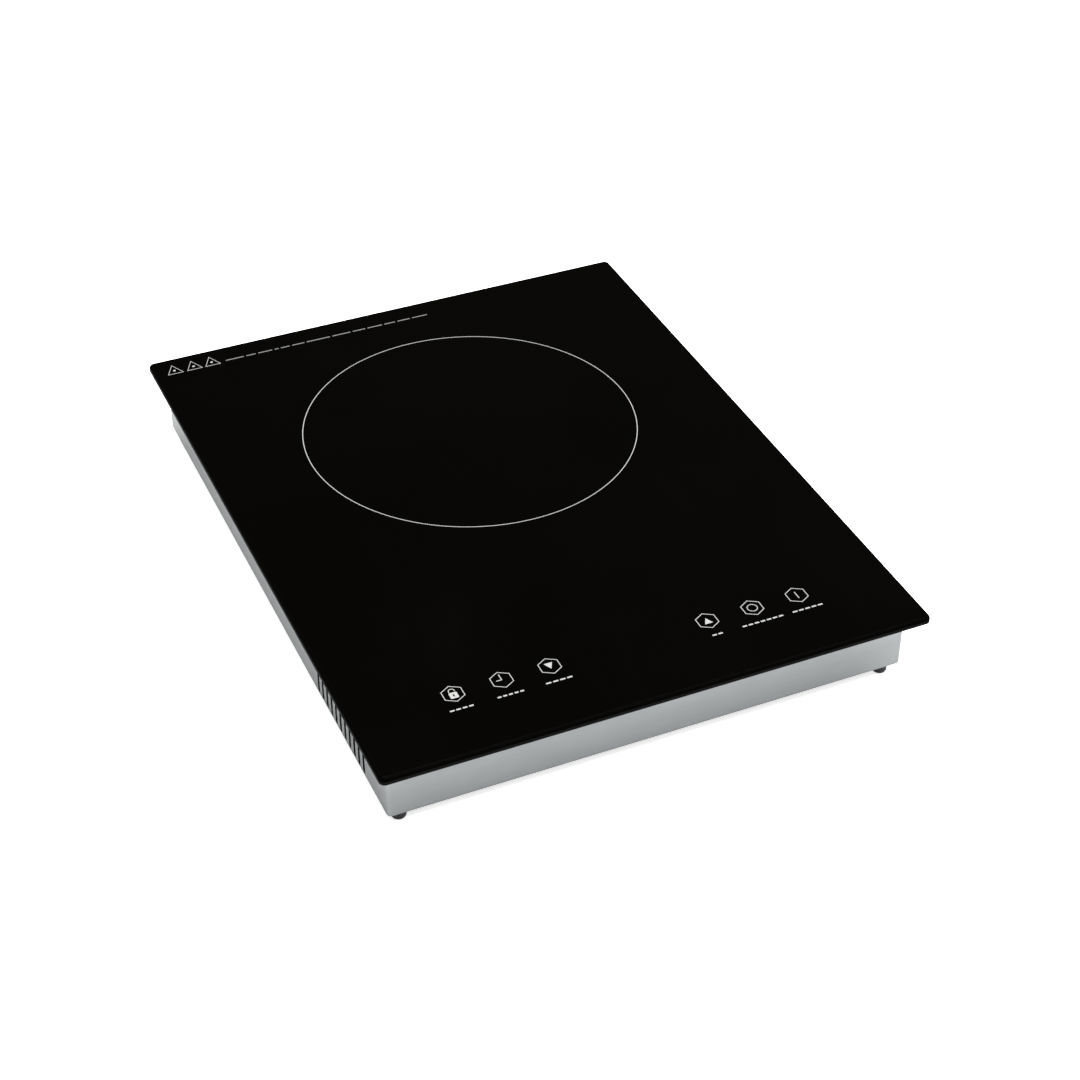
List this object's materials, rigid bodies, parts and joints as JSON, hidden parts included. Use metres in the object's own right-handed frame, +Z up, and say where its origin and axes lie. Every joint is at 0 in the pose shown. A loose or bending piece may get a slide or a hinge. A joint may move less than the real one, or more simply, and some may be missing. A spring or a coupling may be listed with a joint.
{
  "type": "induction hob",
  "caption": "Built-in induction hob with a single zone: black glass plate with touch keys over a vented sheet-steel case that holds coil, power electronics and a cooling blower.",
  "frame": {"origin": "on the surface under the feet, below the middle of the glass plate", "axes": "+Z up out of the glass, front edge with the touch keys towards -Y, +X to the user's right"},
  "size_m": [0.3, 0.39, 0.046],
  "materials": {
    "black_glass": "polished black glass-ceramic",
    "silicone": "matte silicone",
    "sheet_steel": "satin zinc-coated sheet",
    "black_rubber": "matte rubber",
    "mica": "matte pressed mica",
    "copper_litz": "varnished copper wire",
    "copper_wire": "enamelled copper wire",
    "black_plastic": "moulded",
    "ferrite": "sintered",
    "aluminium": "rolled and extruded",
    "spring_steel": "drawn wire",
    "screw_steel": "zinc plated",
    "circuit_board": "solder mask",
    "component_black": "moulded epoxy",
    "capacitor_blue": "moulded box",
    "white_plastic": "moulded",
    "grey_plastic": "moulded",
    "cable_red": "woven heat-proof sleeve",
    "cable_white": "sheath",
    "cable_black": "sheath"
  },
  "bodies": {
    "hob": {"glass_plate": "black_glass", "glass_seal": "silicone", "case_pan": "sheet_steel", "foot_front_left": "black_rubber", "foot_front_right": "black_rubber", "foot_rear_left": "black_rubber", "foot_rear_right": "black_rubber", "cable_grommet": "black_rubber", "mica_disc": "mica", "induction_coil": "copper_litz", "coil_former": "black_plastic", "ferrite_bar_1": "ferrite", "ferrite_bar_2": "ferrite", "ferrite_bar_3": "ferrite", "ferrite_bar_4": "ferrite", "ferrite_bar_5": "ferrite", "ferrite_bar_6": "ferrite", "ferrite_bar_7": "ferrite", "ferrite_bar_8": "ferrite", "coil_tray": "aluminium", "tray_spring_1": "spring_steel", "tray_spring_2": "spring_steel", "tray_spring_3": "spring_steel", "tray_spring_4": "spring_steel", "sensor_sleeve": "silicone", "temperature_sensor": "aluminium", "board_tray": "black_plastic", "power_board": "circuit_board", "heat_sink": "aluminium", "igbt_transistor": "component_black", "bridge_rectifier": "component_black", "smoothing_capacitor": "capacitor_blue", "resonance_capacitor": "capacitor_blue", "filter_choke": "copper_wire", "terminal_block": "white_plastic", "tray_screw_1": "screw_steel", "tray_screw_2": "screw_steel", "tray_screw_3": "screw_steel", "tray_screw_4": "screw_steel", "fan_screw_1": "screw_steel", "fan_screw_2": "screw_steel", "fan_screw_3": "screw_steel", "fan_housing": "black_plastic", "fan_stator": "grey_plastic", "control_tray": "black_plastic", "control_board": "circuit_board", "touch_spring_1": "spring_steel", "touch_spring_2": "spring_steel", "touch_spring_3": "spring_steel", "touch_spring_4": "spring_steel", "touch_spring_5": "spring_steel", "touch_spring_6": "spring_steel", "display_module": "white_plastic", "coil_lead_inner": "cable_red", "coil_lead_outer": "cable_red", "sensor_lead": "cable_white", "mains_lead": "cable_black", "fan_lead": "cable_black", "ribbon_cable": "cable_white"},
    "fan": {"fan_rotor": "grey_plastic"}
  },
  "joints": [
    {"name": "fan_spin", "type": "hinge", "parent": "hob", "child": "fan", "pos_m": [0.092, -0.102, 0.02], "axis": [0, 0, 1], "continuous": true}
  ]
}
